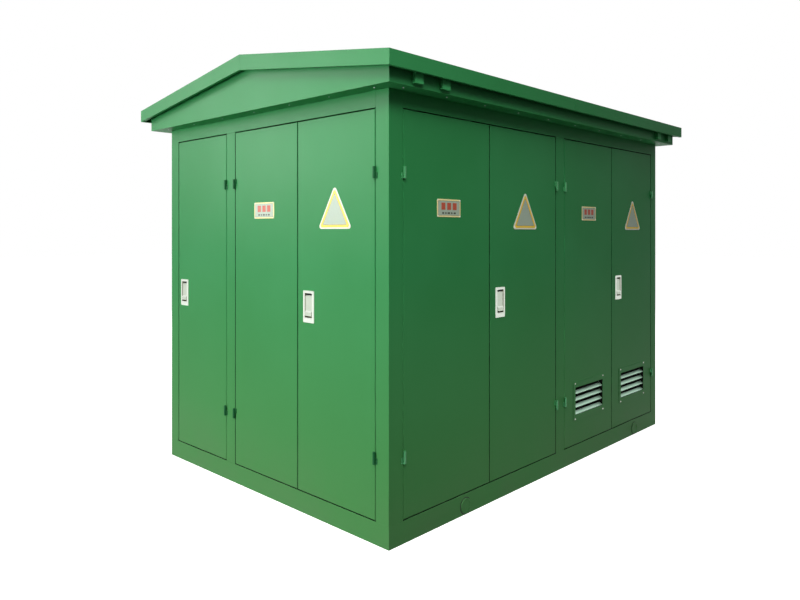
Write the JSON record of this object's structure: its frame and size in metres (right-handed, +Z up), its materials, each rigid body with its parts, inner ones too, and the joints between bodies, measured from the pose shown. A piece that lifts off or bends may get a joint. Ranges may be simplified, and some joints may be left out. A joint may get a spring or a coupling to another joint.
{
  "type": "compact substation",
  "caption": "Walk-around compact substation: folded-steel housing with hinged doors, rod locks, louvre vents, a two-tier gable roof, and switchgear and transformer inside.",
  "frame": {"origin": "middle of the footprint, on the ground under the base frame", "axes": "+X along the long side, -Y is the front with the two pairs of doors and the louvre vents, +Z up"},
  "size_m": [3.294, 2.364, 2.512],
  "materials": {
    "frame_green": "semi-gloss green paint on folded sheet",
    "door_green": "semi-gloss green paint on folded doors",
    "vent_green": "semi-gloss green paint on pressed louvres",
    "hinge_green": "painted weld-on hinges",
    "lock_metal": "bright pressed lock metal",
    "zinc": "zinc-plated steel",
    "seal_rubber": "black foam rubber",
    "floor_steel": "dull grey paint",
    "gear_grey": "light grey textured paint",
    "front_white": "off-white textured paint",
    "tank_grey": "grey-blue tank paint",
    "bushing_brown": "glazed brown insulators",
    "cable_black": "black cable sheath",
    "copper": "bare copper bar",
    "breaker_black": "moulded breaker cases"
  },
  "bodies": {
    "housing": {"base_frame": "frame_green", "floor_plates": "floor_steel", "wall_posts": "frame_green", "header_rails": "frame_green", "door_seals": "seal_rubber", "partition_walls": "frame_green", "end_panels": "door_green", "roof_tray": "frame_green", "roof_beams": "frame_green", "roof_cap": "frame_green", "hinge_frame_halves": "hinge_green", "switchgear_cabinet": "gear_grey", "switchgear_fronts": "front_white", "transformer_tank": "tank_grey", "transformer_cover": "tank_grey", "transformer_bushings": "bushing_brown", "hv_cables": "cable_black", "lv_busbars": "copper", "lv_switchboard": "gear_grey", "lv_breakers": "breaker_black"},
    "door_a": {"leaf_a": "door_green"},
    "door_b": {"leaf_b": "door_green", "lock_case_b": "lock_metal"},
    "door_c": {"leaf_c": "door_green", "vent_c": "vent_green"},
    "door_d": {"leaf_d": "door_green", "lock_case_d": "lock_metal", "vent_d": "vent_green"},
    "door_1": {"leaf_1": "door_green", "lock_case_1": "lock_metal"},
    "door_2": {"leaf_2": "door_green"},
    "door_3": {"leaf_3": "door_green", "lock_case_3": "lock_metal"},
    "door_e": {"leaf_e": "door_green"},
    "door_f": {"leaf_f": "door_green", "lock_case_f": "lock_metal"},
    "door_g": {"leaf_g": "door_green"},
    "door_h": {"leaf_h": "door_green", "lock_case_h": "lock_metal"},
    "lever_b": {"lock_lever_b": "lock_metal"},
    "bar_b": {"lock_bar_b": "zinc"},
    "lever_d": {"lock_lever_d": "lock_metal"},
    "bar_d": {"lock_bar_d": "zinc"},
    "lever_1": {"lock_lever_1": "lock_metal"},
    "bar_1": {"lock_bar_1": "zinc"},
    "lever_3": {"lock_lever_3": "lock_metal"},
    "bar_3": {"lock_bar_3": "zinc"},
    "lever_f": {"lock_lever_f": "lock_metal"},
    "bar_f": {"lock_bar_f": "zinc"},
    "lever_h": {"lock_lever_h": "lock_metal"},
    "bar_h": {"lock_bar_h": "zinc"},
    "bolt_a": {"leaf_bolt_a": "zinc"},
    "bolt_c": {"leaf_bolt_c": "zinc"},
    "bolt_2": {"leaf_bolt_2": "zinc"},
    "bolt_e": {"leaf_bolt_e": "zinc"},
    "bolt_g": {"leaf_bolt_g": "zinc"},
    "lifting_pin_front_left": {"lifting_pin_front_left": "frame_green"},
    "lifting_pin_front_right": {"lifting_pin_front_right": "frame_green"},
    "lifting_pin_back_left": {"lifting_pin_back_left": "frame_green"},
    "lifting_pin_back_right": {"lifting_pin_back_right": "frame_green"}
  },
  "joints": [
    {"name": "door_a_hinge", "type": "hinge", "parent": "housing", "child": "door_a", "pos_m": [-1.4, -1.044, 1.112], "axis": [0, 0, -1], "range_deg": [0, 90]},
    {"name": "door_b_hinge", "type": "hinge", "parent": "housing", "child": "door_b", "pos_m": [0.006, -1.044, 1.112], "axis": [0, 0, 1], "range_deg": [0, 90]},
    {"name": "door_c_hinge", "type": "hinge", "parent": "housing", "child": "door_c", "pos_m": [0.11, -1.044, 1.112], "axis": [0, 0, -1], "range_deg": [0, 90]},
    {"name": "door_d_hinge", "type": "hinge", "parent": "housing", "child": "door_d", "pos_m": [1.412, -1.044, 1.112], "axis": [0, 0, 1], "range_deg": [0, 90]},
    {"name": "door_1_hinge", "type": "hinge", "parent": "housing", "child": "door_1", "pos_m": [-1.509, 0.361, 1.112], "axis": [0, 0, 1], "range_deg": [0, 90]},
    {"name": "door_2_hinge", "type": "hinge", "parent": "housing", "child": "door_2", "pos_m": [-1.509, 0.265, 1.112], "axis": [0, 0, -1], "range_deg": [0, 90]},
    {"name": "door_3_hinge", "type": "hinge", "parent": "housing", "child": "door_3", "pos_m": [-1.509, -0.943, 1.112], "axis": [0, 0, 1], "range_deg": [0, 90]},
    {"name": "door_e_hinge", "type": "hinge", "parent": "housing", "child": "door_e", "pos_m": [1.4, 1.044, 1.112], "axis": [0, 0, -1], "range_deg": [0, 90]},
    {"name": "door_f_hinge", "type": "hinge", "parent": "housing", "child": "door_f", "pos_m": [0.052, 1.044, 1.112], "axis": [0, 0, 1], "range_deg": [0, 90]},
    {"name": "door_g_hinge", "type": "hinge", "parent": "housing", "child": "door_g", "pos_m": [-0.052, 1.044, 1.112], "axis": [0, 0, -1], "range_deg": [0, 90]},
    {"name": "door_h_hinge", "type": "hinge", "parent": "housing", "child": "door_h", "pos_m": [-1.4, 1.044, 1.112], "axis": [0, 0, 1], "range_deg": [0, 90]},
    {"name": "lever_b_lift", "type": "hinge", "parent": "door_b", "child": "lever_b", "pos_m": [-0.599, -1.029, 1.172], "axis": [-1, 0, 0], "range_deg": [0, 60]},
    {"name": "bar_b_slide", "type": "slide", "parent": "door_b", "child": "bar_b", "axis": [0, 0, -1], "range_m": [0, 0.022]},
    {"name": "lever_d_lift", "type": "hinge", "parent": "door_d", "child": "lever_d", "pos_m": [0.859, -1.029, 1.172], "axis": [-1, 0, 0], "range_deg": [0, 60]},
    {"name": "bar_d_slide", "type": "slide", "parent": "door_d", "child": "bar_d", "axis": [0, 0, -1], "range_m": [0, 0.022]},
    {"name": "lever_1_lift", "type": "hinge", "parent": "door_1", "child": "lever_1", "pos_m": [-1.494, 0.857, 1.172], "axis": [0, 1, 0], "range_deg": [0, 60]},
    {"name": "bar_1_slide", "type": "slide", "parent": "door_1", "child": "bar_1", "axis": [0, 0, -1], "range_m": [0, 0.022]},
    {"name": "lever_3_lift", "type": "hinge", "parent": "door_3", "child": "lever_3", "pos_m": [-1.494, -0.437, 1.172], "axis": [0, 1, 0], "range_deg": [0, 60]},
    {"name": "bar_3_slide", "type": "slide", "parent": "door_3", "child": "bar_3", "axis": [0, 0, -1], "range_m": [0, 0.022]},
    {"name": "lever_f_lift", "type": "hinge", "parent": "door_f", "child": "lever_f", "pos_m": [0.628, 1.029, 1.172], "axis": [1, 0, 0], "range_deg": [0, 60]},
    {"name": "bar_f_slide", "type": "slide", "parent": "door_f", "child": "bar_f", "axis": [0, 0, -1], "range_m": [0, 0.022]},
    {"name": "lever_h_lift", "type": "hinge", "parent": "door_h", "child": "lever_h", "pos_m": [-0.824, 1.029, 1.172], "axis": [1, 0, 0], "range_deg": [0, 60]},
    {"name": "bar_h_slide", "type": "slide", "parent": "door_h", "child": "bar_h", "axis": [0, 0, -1], "range_m": [0, 0.022]},
    {"name": "bolt_a_throw", "type": "slide", "parent": "door_a", "child": "bolt_a", "axis": [0, 0, 1], "range_m": [0, 0.018]},
    {"name": "bolt_c_throw", "type": "slide", "parent": "door_c", "child": "bolt_c", "axis": [0, 0, 1], "range_m": [0, 0.018]},
    {"name": "bolt_2_throw", "type": "slide", "parent": "door_2", "child": "bolt_2", "axis": [0, 0, 1], "range_m": [0, 0.018]},
    {"name": "bolt_e_throw", "type": "slide", "parent": "door_e", "child": "bolt_e", "axis": [0, 0, 1], "range_m": [0, 0.018]},
    {"name": "bolt_g_throw", "type": "slide", "parent": "door_g", "child": "bolt_g", "axis": [0, 0, 1], "range_m": [0, 0.018]},
    {"name": "lifting_pin_front_left_slide", "type": "slide", "parent": "housing", "child": "lifting_pin_front_left", "axis": [0, -1, 0], "range_m": [0, 0.11]},
    {"name": "lifting_pin_front_right_slide", "type": "slide", "parent": "housing", "child": "lifting_pin_front_right", "axis": [0, -1, 0], "range_m": [0, 0.11]},
    {"name": "lifting_pin_back_left_slide", "type": "slide", "parent": "housing", "child": "lifting_pin_back_left", "axis": [0, 1, 0], "range_m": [0, 0.11]},
    {"name": "lifting_pin_back_right_slide", "type": "slide", "parent": "housing", "child": "lifting_pin_back_right", "axis": [0, 1, 0], "range_m": [0, 0.11]}
  ],
  "couplings": [
    {"joint": "bar_b_slide", "follows": "lever_b_lift", "m_per_rad": 0.021},
    {"joint": "bar_d_slide", "follows": "lever_d_lift", "m_per_rad": 0.021},
    {"joint": "bar_1_slide", "follows": "lever_1_lift", "m_per_rad": 0.021},
    {"joint": "bar_3_slide", "follows": "lever_3_lift", "m_per_rad": 0.021},
    {"joint": "bar_f_slide", "follows": "lever_f_lift", "m_per_rad": 0.021},
    {"joint": "bar_h_slide", "follows": "lever_h_lift", "m_per_rad": 0.021}
  ]
}
